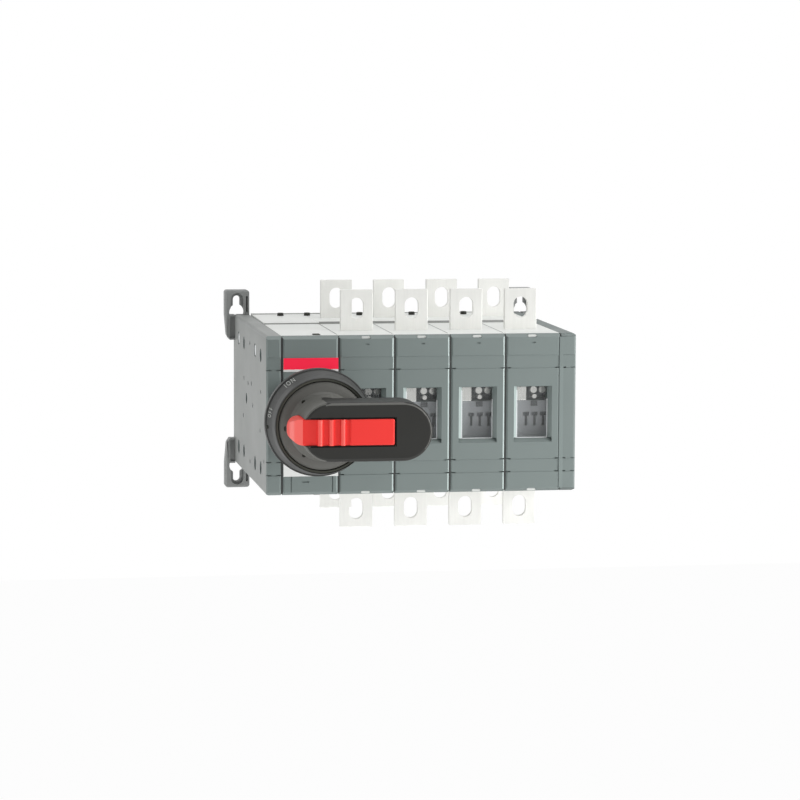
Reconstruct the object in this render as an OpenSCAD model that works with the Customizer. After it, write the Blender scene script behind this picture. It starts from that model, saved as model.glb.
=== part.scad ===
// Changeover switch with four poles and a turning handle.
// Two switches stand one behind the other in one housing: the front one closes at I, the rear one at II.
// X runs to the right seen from the front, Y runs into the panel and Z runs up.
// The origin is the middle of the flat back face, so the front face is at y = -body_d.

/* [Housing] */
// Height of the housing
body_h = 100.8; // [96:0.2:108]
// Depth of the housing, from the panel to the front face
body_d = 175; // [168:1:185]
// Width of one pole
pole_pitch = 35; // [34:0.5:36]
// Width of the mechanism behind the handle
mech_w = 35.4; // [34:0.2:38]
// Thickness of each end wall
wall_t = 9.8; // [8:0.2:11]
// Depth of the front switch, covers included
front_d = 88.5; // [84:0.5:92]

/* [Front covers] */
// Thickness of the covers
cover_t = 5; // [4:0.5:6]
// Height of the bevel along the top and bottom edges
bevel_h = 2; // [1:0.1:3]
// Depth of that bevel
bevel_d = 3.2; // [1.5:0.1:4]
// Gap between neighbouring covers
seam_w = 0.8; // [0.4:0.1:1]
// Width of the bevels along the upright edges
edge_bevel = 1.1; // [0.4:0.1:1.3]
// Upper edge of the sunken band above the windows
band_outer_z = 36.2; // [34:0.1:38]
// Lower edge of that band
band_inner_z = 28; // [26:0.1:30]
// Distance by which the band below the windows lies lower
band_drop = 1; // [0:0.1:2]

/* [Windows] */
// Width of a window opening at the front face
window_w = 24.2; // [22:0.2:27]
// Height of a window opening at the front face
window_h = 35.2; // [30:0.1:37]
// Middle of the windows below the middle of the housing
window_drop = 0.8; // [0:0.1:2]

/* [Terminals] */
// Width of a terminal bar
bar_w = 20.6; // [18:0.2:22]
// Thickness of a terminal bar
bar_t = 4; // [3:0.5:5]
// Height of the bar ends above and below the middle
bar_tip_z = 75.2; // [72:0.2:78]
// Distance of the front bars behind the front face
front_bar_y = 36.5; // [34:0.5:42]
// Distance of the rear bars behind the front face
rear_bar_y = 125; // [120:0.5:130]
// Width of the slot in a bar
slot_w = 9; // [8:0.2:10]
// Length of the slot, end to end
slot_l = 13.4; // [12:0.2:15]
// Height of the slot centres above and below the middle
slot_z = 63.4; // [61:0.1:66]

/* [Feet] */
// Reach of the feet above and below the middle
foot_tip_z = 66; // [62:0.5:70]
// Inner end of the feet beside the housing
foot_tail_z = 33; // [28:0.5:38]
// Width of a foot beyond the end wall
foot_out = 6.8; // [5:0.2:9]
// Width of a foot inside the end wall's face
foot_in = 9.4; // [8:0.2:12]
// Thickness of the feet
foot_t = 9; // [7:0.5:11]

/* [Dial and handle] */
// Radius of the dial's flange
dial_r = 33; // [32:0.1:34]
// Distance of the flange's back in front of the front face
dial_back = 31; // [26:1:33]
// Distance of the dial's front rim in front of the front face
dial_face = 56; // [52:0.5:58]
// Radius of the opening in the dial, in which the hub turns
dial_opening_r = 28.6; // [28:0.1:29]
// Radius of the turning hub
hub_r = 26.8; // [25:0.1:27.4]
// Width of the grip
grip_w = 35.4; // [34:0.2:38]
// Reach of the grip from the pivot
grip_reach = 61; // [58:0.5:65]
// Distance of the grip's face in front of the front face
grip_face = 90.5; // [88:0.5:94]
// Depth of the grip
grip_depth = 26; // [22:1:28]
// Width of the padlock slide
slide_w = 15.4; // [14:0.1:16.4]

/* [Hidden] */

$fn = 64;
pole_count = 4;
cover_w = pole_pitch - seam_w;
// A small overlap that keeps cuts clean
cut = 0.5;
housing_w = mech_w + pole_count * pole_pitch + 2 * wall_t;
wall_x = housing_w / 2;
mech_x0 = -wall_x + wall_t;
mech_x = mech_x0 + mech_w / 2;
first_joint = mech_x0 + mech_w;
half_h = body_h / 2;
front_y = -body_d;
// The front switch is a little lower than the rear one
deck_step = 0.9;
front_half = half_h - deck_step;
split_y = front_y + front_d;
front_deck_y = front_y + cover_t;
bar_shift = -0.9;

// Fine raised rim across the rear decks, and the step behind it
rim_back_y = -14;
rim_w = 3;
rim_h = 0.6;
back_step = 3;

// Window chamber, cut into each front pole behind its window
chamber_w = 27;
chamber_top = 18.5;
chamber_bottom = -20.5;
chamber_d = 44;
window_frame = 2.4;
window_depth = 3;
pane_t = 1.2;

// Sunken bands across the front, with short notches at the joints
band_depth = 0.4;
notch_l = 2.6;
notch_h = 0.7;
notch_depth = 1.6;

// Labels on the mechanism cover
label_t = 0.6;
label_top = band_outer_z - 0.3;
label_bottom = 27.5;
plate_top = 17;
plate_bottom = -37.6;
label_inset = 0.9;
shaft_hole_r = 16;

// Feet
foot_edge = 2;
foot_bevel = 1;
key_x = wall_x - 1.2;
key_slot_w = 5;
key_top = 59.8;
key_hole_r = 5.2;
key_hole_z = 51.2;
key_pocket_w = 8.4;
key_pocket_d = 2.6;
tail_rib = 3.4;
tail_recess = 1.6;
lug_groove_w = 1.1;
lug_groove_d = 3;

// End walls: sockets on the outer faces, as [distance behind the front, height, radius]
module_d = rear_bar_y - front_bar_y;
socket_d = 4;
module_sockets = [[28.6, 35.2, 4.2], [28.6, -35.4, 4.2], [57.6, 36, 4.4], [57.6, -36, 4.5],
                  [28.6, 12.5, 1.4], [32, -12.4, 1.4]];
middle_sockets = [[84.6, 38, 1.5], [84.6, -38.2, 1.5], [94.5, 11.3, 1.5], [76.8, 12.7, 1.5],
                  [103.4, 0.5, 3.5], [69.4, -0.6, 1.5], [12.2, -29.6, 1.3]];

// Slots in the covers' upper and lower bevels, and the light studs that show in them
bevel_slot_w = 5.8;
bevel_slot_h = 1.6;
bevel_slot_z = front_half - 1.3;
stud_shift = -0.5;
stud_w = 5.4;
stud_h = 1.4;

// Dial and handle
flange_front = 36.8;
scale_front = 45;
dial_floor = 44;
hub_back = 45.5;
hub_rim = 54.4;
hub_rise = 4;
hub_flat_r = 12;
pocket_floor = 64;
shaft_depth = 6;
grip_bevel = 1.6;
grip_back = grip_face - grip_depth;
grip_r = grip_w / 2;
grip_x0 = 0;
grip_x1 = grip_reach - grip_r;
slide_start = -23.3;
slide_step = -13.5;
slide_tip_r = 6.4;
slide_raised = 10.5;
slide_end = 38;
slide_floor = grip_face - 7;
slide_face = grip_face - 0.4;
slide_gap = 0.3;
ridge_pitch = 6.9;
ridge_r = 1.5;
shaft_r = 6;
bearing_gap = 0.3;
skirt_r = 22;

// Rounded shoulder of the hub, as [radius, distance in front]
hub_dome = [for (a = [0:10:80]) [hub_flat_r + (hub_r - hub_flat_r) * cos(a), hub_rim + hub_rise * sin(a)]];

function pole_x(n) = first_joint + (n - 0.5) * pole_pitch;

// Box given by its two opposite corners
module block(low, high) {
    translate(low) cube([high[0] - low[0], high[1] - low[1], high[2] - low[2]]);
}

// Cylinder along Y from y0 to y1
module rod_y(x, z, r, y0, y1) {
    translate([x, y0, z]) rotate([-90, 0, 0]) cylinder(r = r, h = y1 - y0);
}

// Slot along Z that runs through a bar from y0 to y1
module slot_z_cut(x, z, w, l, y0, y1) {
    straight = l - w;
    rod_y(x, z + straight / 2, w / 2, y0, y1);
    rod_y(x, z - straight / 2, w / 2, y0, y1);
    block([x - w / 2, y0, z - straight / 2], [x + w / 2, y1, z + straight / 2]);
}

// Slot along X that runs from y0 to y1
module slot_x_cut(x, z, w, h, y0, y1) {
    straight = w - h;
    rod_y(x - straight / 2, z, h / 2, y0, y1);
    rod_y(x + straight / 2, z, h / 2, y0, y1);
    block([x - straight / 2, y0, z - h / 2], [x + straight / 2, y1, z + h / 2]);
}

// Outline of the front switch seen from the side, with its bevelled front edges
module side_outline(y_back) {
    polygon([[front_y, -front_half + bevel_h], [front_y + bevel_d, -front_half], [y_back, -front_half],
             [y_back, front_half], [front_y + bevel_d, front_half], [front_y, front_half - bevel_h]]);
}

// Prism of the side outline between two planes across X
module side_prism(x0, x1, y_back) {
    translate([x0, 0, 0]) rotate([90, 0, 90]) linear_extrude(height = x1 - x0) side_outline(y_back);
}

// Front part with bevelled upright edges
module beveled_front(x0, x1, y_back) {
    difference() {
        side_prism(x0, x1, y_back);
        for (x = [x0, x1])
            translate([x, front_y, 0]) rotate([0, 0, 45])
                cube([sqrt(2) * edge_bevel, sqrt(2) * edge_bevel, body_h + 2], center = true);
    }
}

// The two shallow bands that run across the whole front, with short notches beside the joints
module sunken_bands(x0, x1) {
    for (z = [band_inner_z, -band_outer_z - band_drop])
        block([x0 - cut, front_y - cut, z],
              [x1 + cut, front_y + band_depth, z + band_outer_z - band_inner_z]);
    for (z = [band_inner_z, -band_outer_z - band_drop, -band_inner_z - band_drop], x = [x0, x1 - notch_l])
        block([x - cut, front_y - cut, z], [x + notch_l + cut, front_y + notch_depth, z + notch_h]);
}

// End wall: a thick moulded plate that closes the row of poles
module end_wall(side) {
    inner = wall_x - wall_t;
    mirror([side < 0 ? 1 : 0, 0, 0])
        difference() {
            union() {
                beveled_front(inner + seam_w / 2, wall_x, split_y);
                block([inner, front_deck_y, -front_half], [wall_x - 1, split_y, front_half]);
                block([inner, split_y, -front_half], [wall_x, 0, front_half]);
            }
            sunken_bands(inner + seam_w / 2, wall_x);
            for (p = middle_sockets) wall_socket(p);
            for (step = [0, module_d], p = module_sockets) wall_socket([p[0] + step, p[1], p[2]]);
        }
}

// Round socket in the outer face of an end wall
module wall_socket(p) {
    translate([wall_x - socket_d, front_y + p[0], p[1]]) rotate([0, 90, 0])
        cylinder(r = p[2], h = socket_d + cut);
}

module left_end_wall() { color("#a2a4a0") end_wall(-1); }

module right_end_wall() { color("#858c8a") end_wall(1); }

// Mounting foot on the back corner: a flat lug with a keyhole, and a tail down the end wall
module foot(side_x, side_z) {
    x_out = wall_x + foot_out;
    x_in = wall_x - foot_in;
    mirror([side_x < 0 ? 1 : 0, 0, 0]) mirror([0, 0, side_z < 0 ? 1 : 0])
        difference() {
            union() {
                // the lug, with round outer corners
                block([x_in, -foot_t, front_half], [x_out, 0, foot_tip_z - foot_edge]);
                block([x_in + foot_edge, -foot_t, front_half], [x_out - foot_edge, 0, foot_tip_z]);
                rod_y(x_in + foot_edge, foot_tip_z - foot_edge, foot_edge, -foot_t, 0);
                rod_y(x_out - foot_edge, foot_tip_z - foot_edge, foot_edge, -foot_t, 0);
                // the tail, narrower towards its end
                rotate([90, 0, 0]) linear_extrude(height = foot_t)
                    polygon([[wall_x, foot_tail_z], [x_out - 3.2, foot_tail_z],
                             [x_out - 1.2, foot_tail_z + 3], [x_out, front_half], [wall_x, front_half]]);
            }
            // the tail's sunken strip beside the end wall
            block([wall_x - cut, -foot_t - cut, foot_tail_z + 1.2],
                  [wall_x + tail_rib, tail_recess - foot_t, half_h - 2]);
            // bevelled front edges along the outer side and the tip
            translate([x_out, -foot_t, 0]) rotate([0, 0, 45])
                cube([sqrt(2) * foot_bevel, sqrt(2) * foot_bevel, 2 * body_h], center = true);
            translate([wall_x, -foot_t, foot_tip_z]) rotate([45, 0, 0])
                cube([4 * foot_in, sqrt(2) * foot_bevel, sqrt(2) * foot_bevel], center = true);
            // fine groove along the lug's inner edge
            block([x_in + lug_groove_w, -foot_t - cut, half_h + 1],
                  [x_in + 2 * lug_groove_w, lug_groove_d - foot_t, foot_tip_z - 2 * foot_edge]);
            // shallow pocket around the slot, for the screw's head
            rod_y(key_x, key_top, key_pocket_w / 2, -foot_t - cut, key_pocket_d - foot_t);
            block([key_x - key_pocket_w / 2, -foot_t - cut, key_hole_z],
                  [key_x + key_pocket_w / 2, key_pocket_d - foot_t, key_top]);
            // keyhole: narrow slot for the screw's shank above a wide mouth with a flat bottom
            rod_y(key_x, key_top, key_slot_w / 2, -foot_t - cut, cut);
            block([key_x - key_slot_w / 2, -foot_t - cut, key_hole_z],
                  [key_x + key_slot_w / 2, cut, key_top]);
            intersection() {
                rod_y(key_x, key_hole_z, key_hole_r, -foot_t - cut, cut);
                block([key_x - body_h, -body_h, front_half], [key_x + body_h, body_h, body_h]);
            }
        }
}

module foot_upper_left() { color("#6f7271") foot(-1, 1); }

module foot_lower_left() { color("#6f7271") foot(-1, -1); }

module foot_upper_right() { color("#6f7271") foot(1, 1); }

module foot_lower_right() { color("#6f7271") foot(1, -1); }

// Housing behind the handle: a closed case with a well for the shaft
module mechanism_housing() {
    color("#e6e9e6") difference() {
        union() {
            block([mech_x0, front_deck_y, -front_half], [first_joint, split_y, front_half]);
            rear_case(mech_x0, first_joint);
        }
        rod_y(mech_x, 0, shaft_hole_r, front_deck_y - cut, front_deck_y + 34);
        // catch slots in the decks, just behind the cover
        for (side = [-1, 1])
            mirror([0, 0, side < 0 ? 1 : 0])
                block([mech_x + 2.4, front_deck_y + 0.8, front_half - 7],
                      [mech_x + 7.2, front_deck_y + 7.8, front_half + cut]);
    }
}

// Case of the rear switch between two joints, with its raised rims and the step at the back
module rear_case(x0, x1) {
    block([x0, split_y, -half_h], [x1, rim_back_y, half_h]);
    block([x0, rim_back_y - cut, back_step - half_h], [x1, 0, half_h - back_step]);
    block([x0, rim_back_y - rim_w, -half_h - rim_h], [x1, rim_back_y, half_h + rim_h]);
}

// Studs that fill the slots in a cover's top and bottom bevels
module deck_studs(x) {
    for (side = [-1, 1])
        slot_x_cut(x + stud_shift, side * bevel_slot_z, stud_w, stud_h, front_y + 1.2, front_deck_y + cut);
}

// Cover over the mechanism, with a round opening for the shaft and recesses for the labels
module mechanism_cover() {
    color("#717a79") difference() {
        beveled_front(mech_x0 + seam_w / 2, first_joint - seam_w / 2, front_deck_y);
        rod_y(mech_x, 0, shaft_hole_r, front_y - cut, front_deck_y + cut);
        for (z = [[plate_bottom, plate_top], [label_bottom, label_top]])
            block([mech_x0 + label_inset, front_y - cut, z[0]],
                  [first_joint, front_y + label_t - 0.2, z[1]]);
        // fine upright grooves below the labels
        for (x = [mech_x - 12, mech_x + 13.7])
            block([x - 0.3, front_y - cut, -half_h - cut], [x + 0.3, front_y + 0.8, plate_bottom + cut]);
        slot_x_cut(mech_x - 3, -41.1, 4.6, 0.9, front_y - cut, front_y + 0.7);
    }
}

// Slots through the bevels at the top and bottom of a cover
module cover_notches(x) {
    for (side = [-1, 1])
        slot_x_cut(x + stud_shift, side * bevel_slot_z, bevel_slot_w, bevel_slot_h,
                   front_y - cut, front_deck_y + cut);
}

module label_band() {
    color("#ee3349")
        block([mech_x0 + label_inset, front_y - 0.2, label_bottom],
              [first_joint - seam_w / 2, front_y + label_t - 0.2, label_top]);
}

module rating_plate() {
    color("#f3f4f2") difference() {
        block([mech_x0 + label_inset, front_y - 0.2, plate_bottom],
              [first_joint - seam_w / 2, front_y + label_t - 0.2, plate_top]);
        rod_y(mech_x, 0, shaft_hole_r, front_y - 1, front_y + 1);
    }
}

// Rear pole: a closed case with pockets that hold its two terminal bars
module rear_pole(n) {
    x0 = first_joint + (n - 1) * pole_pitch;
    difference() {
        rear_case(x0, x0 + pole_pitch);
        bar_pockets(n, front_y + rear_bar_y, 20);
    }
}

// Front pole: a case with a chamber behind the window and pockets for its bars
module front_pole(n) {
    x0 = first_joint + (n - 1) * pole_pitch;
    difference() {
        union() {
            block([x0, front_deck_y, -front_half], [x0 + pole_pitch, split_y, front_half]);
            deck_studs(pole_x(n));
        }
        bar_pockets(n, front_y + front_bar_y, 10);
        block([pole_x(n) - chamber_w / 2, front_deck_y - cut, chamber_bottom],
              [pole_x(n) + chamber_w / 2, front_y + chamber_d, chamber_top]);
    }
}

// Snug pockets for the upper and lower bar of a pole, open at the decks
module bar_pockets(n, y_face, z_inner) {
    for (side = [-1, 1])
        mirror([0, 0, side < 0 ? 1 : 0])
            block([pole_x(n) + bar_shift - bar_w / 2, y_face, z_inner],
                  [pole_x(n) + bar_shift + bar_w / 2, y_face + bar_t, half_h + cut]);
}

module rear_pole_1() { color("#e6e9e6") rear_pole(1); }

module rear_pole_2() { color("#e6e9e6") rear_pole(2); }

module rear_pole_3() { color("#e6e9e6") rear_pole(3); }

module rear_pole_4() { color("#e6e9e6") rear_pole(4); }

module front_pole_1() { color("#e6e9e6") front_pole(1); }

module front_pole_2() { color("#e6e9e6") front_pole(2); }

module front_pole_3() { color("#e6e9e6") front_pole(3); }

module front_pole_4() { color("#e6e9e6") front_pole(4); }

// Front cover of one pole, with its window opening
module front_cover(n) {
    x = pole_x(n);
    z_mid = -window_drop;
    difference() {
        beveled_front(x - cover_w / 2, x + cover_w / 2, front_deck_y);
        sunken_bands(x - cover_w / 2, x + cover_w / 2);
        cover_notches(x);
        // small gate mark below the upper slot
        slot_x_cut(x + 0.3, 44.1, 2.4, 0.8, front_y - cut, front_y + 0.6);
        // sloping frame of the window, then the straight opening
        translate([x, front_y, z_mid]) rotate([90, 0, 0])
            mirror([0, 0, 1]) window_taper();
        block([x - window_w / 2 + window_frame, front_y - cut, z_mid - window_h / 2 + window_frame],
              [x + window_w / 2 - window_frame, front_deck_y + cut, z_mid + window_h / 2 - 0.6]);
    }
}

// The sloping frame as wedges cut away around the opening
module window_taper() {
    inner_w = window_w - 2 * window_frame;
    block([-inner_w / 2, -window_h / 2 + window_frame, -cut], [inner_w / 2, window_h / 2, window_depth]);
    for (side = [-1, 1])
        mirror([side < 0 ? 1 : 0, 0, 0])
            translate([0, -window_h / 2 + window_frame, 0]) rotate([-90, 0, 0])
                linear_extrude(height = window_h - window_frame)
                    polygon([[inner_w / 2 - cut, 0.01], [window_w / 2, 0.01], [inner_w / 2, -window_depth],
                             [inner_w / 2 - cut, -window_depth]]);
    translate([-window_w / 2, 0, 0]) rotate([90, 0, 90]) linear_extrude(height = window_w)
        polygon([[-window_h / 2 + window_frame + cut, -0.01], [-window_h / 2, -0.01],
                 [-window_h / 2 + window_frame, window_depth],
                 [-window_h / 2 + window_frame + cut, window_depth]]);
}

module front_cover_1() { color("#7f8986") front_cover(1); }

module front_cover_2() { color("#7f8986") front_cover(2); }

module front_cover_3() { color("#7f8986") front_cover(3); }

module front_cover_4() { color("#7f8986") front_cover(4); }

// Clear pane that closes the window from behind
module window_pane(n) {
    x = pole_x(n);
    block([x - window_w / 2, front_deck_y, -window_drop - window_h / 2],
          [x + window_w / 2, front_deck_y + pane_t, -window_drop + window_h / 2]);
}

module window_1() { color("#d8dcdc", 0.3) window_pane(1); }

module window_2() { color("#d8dcdc", 0.3) window_pane(2); }

module window_3() { color("#d8dcdc", 0.3) window_pane(3); }

module window_4() { color("#d8dcdc", 0.3) window_pane(4); }

// Moulded carrier of the moving contacts, seen through the window
module contact_carrier(n) {
    x = pole_x(n);
    face_y = front_deck_y + 8;
    difference() {
        block([x - chamber_w / 2, face_y, chamber_bottom], [x + chamber_w / 2, front_y + chamber_d, 6.5]);
        // three guide slots, wide at their upper ends
        for (step = [-1, 0, 1]) {
            block([x + 2.9 + step * 5.5, face_y - cut, -9.4], [x + 4.5 + step * 5.5, face_y + 4, -0.8]);
            block([x + 1.8 + step * 5.5, face_y - cut, -3.2], [x + 5.6 + step * 5.5, face_y + 4, -0.8]);
        }
        // room for the lower bar's inner end
        block([x + bar_shift - bar_w / 2, front_y + front_bar_y, chamber_bottom - cut],
              [x + bar_shift + bar_w / 2, front_y + front_bar_y + bar_t, -10]);
    }
}

module contact_carrier_1() { color("#6f7274") contact_carrier(1); }

module contact_carrier_2() { color("#6f7274") contact_carrier(2); }

module contact_carrier_3() { color("#6f7274") contact_carrier(3); }

module contact_carrier_4() { color("#6f7274") contact_carrier(4); }

// One flat bar with its oblong slot, from its tip down to z_inner
module bar(n, y_face, z_inner) {
    x = pole_x(n) + bar_shift;
    difference() {
        block([x - bar_w / 2, y_face, z_inner], [x + bar_w / 2, y_face + bar_t, bar_tip_z]);
        slot_z_cut(x, slot_z, slot_w, slot_l, y_face - cut, y_face + bar_t + cut);
    }
}

// Both bars of one pole of the rear switch
module rear_terminals(n) {
    for (side = [-1, 1])
        mirror([0, 0, side < 0 ? 1 : 0]) bar(n, front_y + rear_bar_y, 20);
}

// Both bars of one pole of the front switch; the upper one carries the contact block behind the window
module front_terminals(n) {
    x = pole_x(n);
    bar(n, front_y + front_bar_y, 10);
    mirror([0, 0, 1]) bar(n, front_y + front_bar_y, 10);
    block([x - 11.2, front_deck_y + 7, 6.7], [x - 1.8, front_y + front_bar_y, chamber_top]);
    block([x - 1.8, front_deck_y + 16, 8], [x + 11, front_y + front_bar_y, chamber_top]);
    for (p = [[3, 13.2, 2.1], [8.6, 13.1, 2.1], [3.6, 9, 1.4]])
        rod_y(x + p[0], p[1], p[2], front_deck_y + 8, front_deck_y + 16 + cut);
}

module front_terminals_1() { color("#e4e4e0") front_terminals(1); }

module front_terminals_2() { color("#e4e4e0") front_terminals(2); }

module front_terminals_3() { color("#e4e4e0") front_terminals(3); }

module front_terminals_4() { color("#e4e4e0") front_terminals(4); }

module rear_terminals_1() { color("#e4e4e0") rear_terminals(1); }

module rear_terminals_2() { color("#e4e4e0") rear_terminals(2); }

module rear_terminals_3() { color("#e4e4e0") rear_terminals(3); }

module rear_terminals_4() { color("#e4e4e0") rear_terminals(4); }

// Solid of revolution about the shaft's axis; its outline is given as [radius, distance in front]
module turned(outline) {
    translate([mech_x, front_y, 0]) rotate([90, 0, 0]) rotate_extrude($fn = 128) polygon(outline);
}

// Round dial: a skirt that stands on the cover, a flange, the sloping scale and a raised collar for the hub
module dial() {
    bore = shaft_r + bearing_gap;
    color("#4a4c4a") turned([
        [bore, -0.4], [skirt_r - 6.5, -0.4], [skirt_r - 6.5, 0.2], [skirt_r, 0.2], [skirt_r, dial_back],
        [dial_r - 1, dial_back], [dial_r, dial_back + 1], [dial_r, flange_front - 0.6],
        [dial_r - 0.5, flange_front], [dial_r - 0.9, flange_front], [dial_r - 1, flange_front + 0.5],
        [dial_r - 3, scale_front], [dial_opening_r + 1, scale_front + 5],
        [dial_opening_r + 0.7, dial_face - 0.8], [dial_opening_r + 0.3, dial_face],
        [dial_opening_r, dial_face - 0.5], [dial_opening_r, dial_floor], [bore, dial_floor]]);
}

// Shaft from the mechanism into the handle
module shaft() {
    color("#9a9c9c") rod_y(mech_x, 0, shaft_r, front_y - hub_back - shaft_depth, front_y + 28);
}

// Handle: a round hub and a long grip to the right, with a channel for the padlock slide
module handle() {
    color("#3b3b39") difference() {
        union() {
            turned(concat([[shaft_r, hub_back], [hub_r, hub_back]], hub_dome,
                          [[0, hub_rim + hub_rise], [0, hub_back + shaft_depth],
                           [shaft_r, hub_back + shaft_depth]]));
            // the neck that widens softly from the grip into the hub
            turned([[0, hub_back + shaft_depth], [grip_r + 4.4, hub_back + shaft_depth],
                    [grip_r + 4.4, hub_rim + 2], [grip_r + 1.9, hub_rim + 4.8], [grip_r + 0.6, hub_rim + 10],
                    [grip_r - 0.1, hub_rim + 18], [0, hub_rim + 18]]);
            grip_body();
        }
        // channel along the grip's face, and the pocket where the slide's tip comes down to the hub
        half_w = slide_w / 2 + slide_gap;
        block([mech_x - 2 * hub_r, front_y - grip_face - cut, -half_w],
              [mech_x + slide_end + slide_gap, front_y - slide_floor, half_w]);
        block([mech_x - 2 * hub_r, front_y - grip_face - cut, -half_w],
              [mech_x + slide_step + slide_gap, front_y - pocket_floor - slide_gap, half_w]);
    }
}

// The grip: a long block with round ends and a bevelled rim
module grip_body() {
    rim = grip_face - grip_bevel;
    for (x = [grip_x0, grip_x1])
        translate([mech_x + x, front_y, 0]) rotate([90, 0, 0]) {
            translate([0, 0, x == grip_x0 ? hub_rim + 2 : grip_back])
                cylinder(r = grip_r, h = rim - (x == grip_x0 ? hub_rim + 2 : grip_back), $fn = 96);
            translate([0, 0, rim]) cylinder(r1 = grip_r, r2 = grip_r - grip_bevel, h = grip_bevel, $fn = 96);
        }
    translate([mech_x + grip_x0, front_y, 0]) rotate([90, 0, 90]) linear_extrude(height = grip_x1 - grip_x0)
        polygon([[-grip_back, -grip_r], [-grip_back, grip_r], [-rim, grip_r],
                 [-grip_face, grip_r - grip_bevel], [-grip_face, grip_bevel - grip_r], [-rim, -grip_r]]);
}

// Red slide that is drawn out to the left to take padlocks, with three finger ridges across its face
module lock_slide() {
    color("#ee4040") translate([mech_x, front_y, 0]) {
        intersection() {
            translate([0, 0, -slide_w / 2]) linear_extrude(height = slide_w)
                polygon([[slide_start, -pocket_floor - 2 * slide_gap], [slide_start + 0.9, 16 - slide_face],
                         [slide_start + 2.5, 8 - slide_face], [slide_start + 6.4, 1.3 - slide_face],
                         [-2.2 * ridge_pitch / 2, -slide_face], [slide_raised, -slide_face],
                         [slide_raised + 1, -slide_face - 1],
                         [slide_end - 1, -slide_face - 1], [slide_end, -slide_face],
                         [slide_end, -slide_floor - slide_gap], [slide_step, -slide_floor - slide_gap],
                         [slide_step, -pocket_floor - 2 * slide_gap]]);
            // plan of the slide, with round corners at its tip
            union() {
                for (side = [-1, 1])
                    rod_y(slide_start + slide_tip_r, side * (slide_w / 2 - slide_tip_r), slide_tip_r,
                          -grip_face - 5, 0);
                block([slide_start, -grip_face - 5, slide_tip_r - slide_w / 2],
                      [slide_end, 0, slide_w / 2 - slide_tip_r]);
                block([slide_start + slide_tip_r, -grip_face - 5, -slide_w], [slide_end, 0, slide_w]);
            }
        }
        for (step = [-1, 0, 1])
            translate([step * ridge_pitch, -slide_face - 0.4, -slide_w / 2])
                cylinder(r = ridge_r, h = slide_w);
    }
}

left_end_wall();
right_end_wall();
foot_upper_left();
foot_lower_left();
foot_upper_right();
foot_lower_right();
mechanism_housing();
mechanism_cover();
label_band();
rating_plate();
rear_pole_1();
rear_pole_2();
rear_pole_3();
rear_pole_4();
front_pole_1();
front_pole_2();
front_pole_3();
front_pole_4();
front_cover_1();
front_cover_2();
front_cover_3();
front_cover_4();
window_1();
window_2();
window_3();
window_4();
contact_carrier_1();
contact_carrier_2();
contact_carrier_3();
contact_carrier_4();
front_terminals_1();
front_terminals_2();
front_terminals_3();
front_terminals_4();
rear_terminals_1();
rear_terminals_2();
rear_terminals_3();
rear_terminals_4();
dial();
shaft();
handle();
lock_slide();
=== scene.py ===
"""Finishes and fine details for a four-pole changeover switch, with a plain studio around it."""

import math

import bmesh
import bpy
from mathutils import Matrix, Vector


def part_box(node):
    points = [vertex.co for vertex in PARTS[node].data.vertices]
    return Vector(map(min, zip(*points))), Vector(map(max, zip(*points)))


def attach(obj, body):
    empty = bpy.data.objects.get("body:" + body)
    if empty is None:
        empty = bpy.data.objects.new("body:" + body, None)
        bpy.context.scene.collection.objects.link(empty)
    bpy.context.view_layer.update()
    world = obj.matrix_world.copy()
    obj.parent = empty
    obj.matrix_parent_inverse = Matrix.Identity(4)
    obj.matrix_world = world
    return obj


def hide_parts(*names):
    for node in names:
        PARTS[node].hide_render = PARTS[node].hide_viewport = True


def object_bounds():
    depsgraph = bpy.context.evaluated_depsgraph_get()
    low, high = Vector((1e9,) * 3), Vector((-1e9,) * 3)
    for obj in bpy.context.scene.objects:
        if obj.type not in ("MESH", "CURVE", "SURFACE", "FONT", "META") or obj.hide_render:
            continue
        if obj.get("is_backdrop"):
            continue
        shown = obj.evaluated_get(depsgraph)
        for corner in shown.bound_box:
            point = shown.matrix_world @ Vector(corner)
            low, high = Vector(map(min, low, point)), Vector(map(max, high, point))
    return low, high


bl_info = {
    "name": "Changeover Switch Finish",
    "version": (1, 0, 0),
    "blender": (4, 5, 0),
    "location": "View3D > Sidebar > Switch",
    "description": "Dresses a changeover switch with bevels, finishes, marks and a studio",
    "category": "Object",
}

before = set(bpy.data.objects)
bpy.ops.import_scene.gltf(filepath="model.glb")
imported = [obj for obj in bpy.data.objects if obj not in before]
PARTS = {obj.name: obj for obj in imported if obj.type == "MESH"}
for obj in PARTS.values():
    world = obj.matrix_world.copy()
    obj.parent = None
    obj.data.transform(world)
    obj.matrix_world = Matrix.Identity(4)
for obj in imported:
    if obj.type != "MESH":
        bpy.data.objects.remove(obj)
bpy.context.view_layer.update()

# All lengths are in metres. Places come from the loaded parts.
POLES = (1, 2, 3, 4)
POLE_COVERS = [f"front_cover_{n}" for n in POLES]
DECKS = ((1, "upper"), (-1, "lower"))
FRONT_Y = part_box("front_cover_1")[0].y
PIVOT_X = sum(corner.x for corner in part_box("shaft")) / 2
FACES_FRONT = (math.pi / 2, 0, 0)

# An edge this near to a plane counts as lying in it.
TOUCH = 0.0002
# Faces that meet at more than this angle have a sharp edge between them.
SHARP_ANGLE = math.radians(25)

# Depth of the relief that a finish gives: grain of a moulding, lines of a plating, a film.
GRAIN_DEPTH = 0.00006
BRUSH_DEPTH = 0.00004
FILM_DEPTH = 0.00003


def tone(code):
    """Linear colour of a six-digit screen colour."""
    values = [int(code[i : i + 2], 16) / 255 for i in (0, 2, 4)]
    return tuple(v / 12.92 if v <= 0.04045 else ((v + 0.055) / 1.055) ** 2.4 for v in values)


def pole_middle(number):
    """X of the middle of a pole."""
    low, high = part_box(f"front_cover_{number}")
    return (low.x + high.x) / 2


# ---------------- settings


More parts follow.
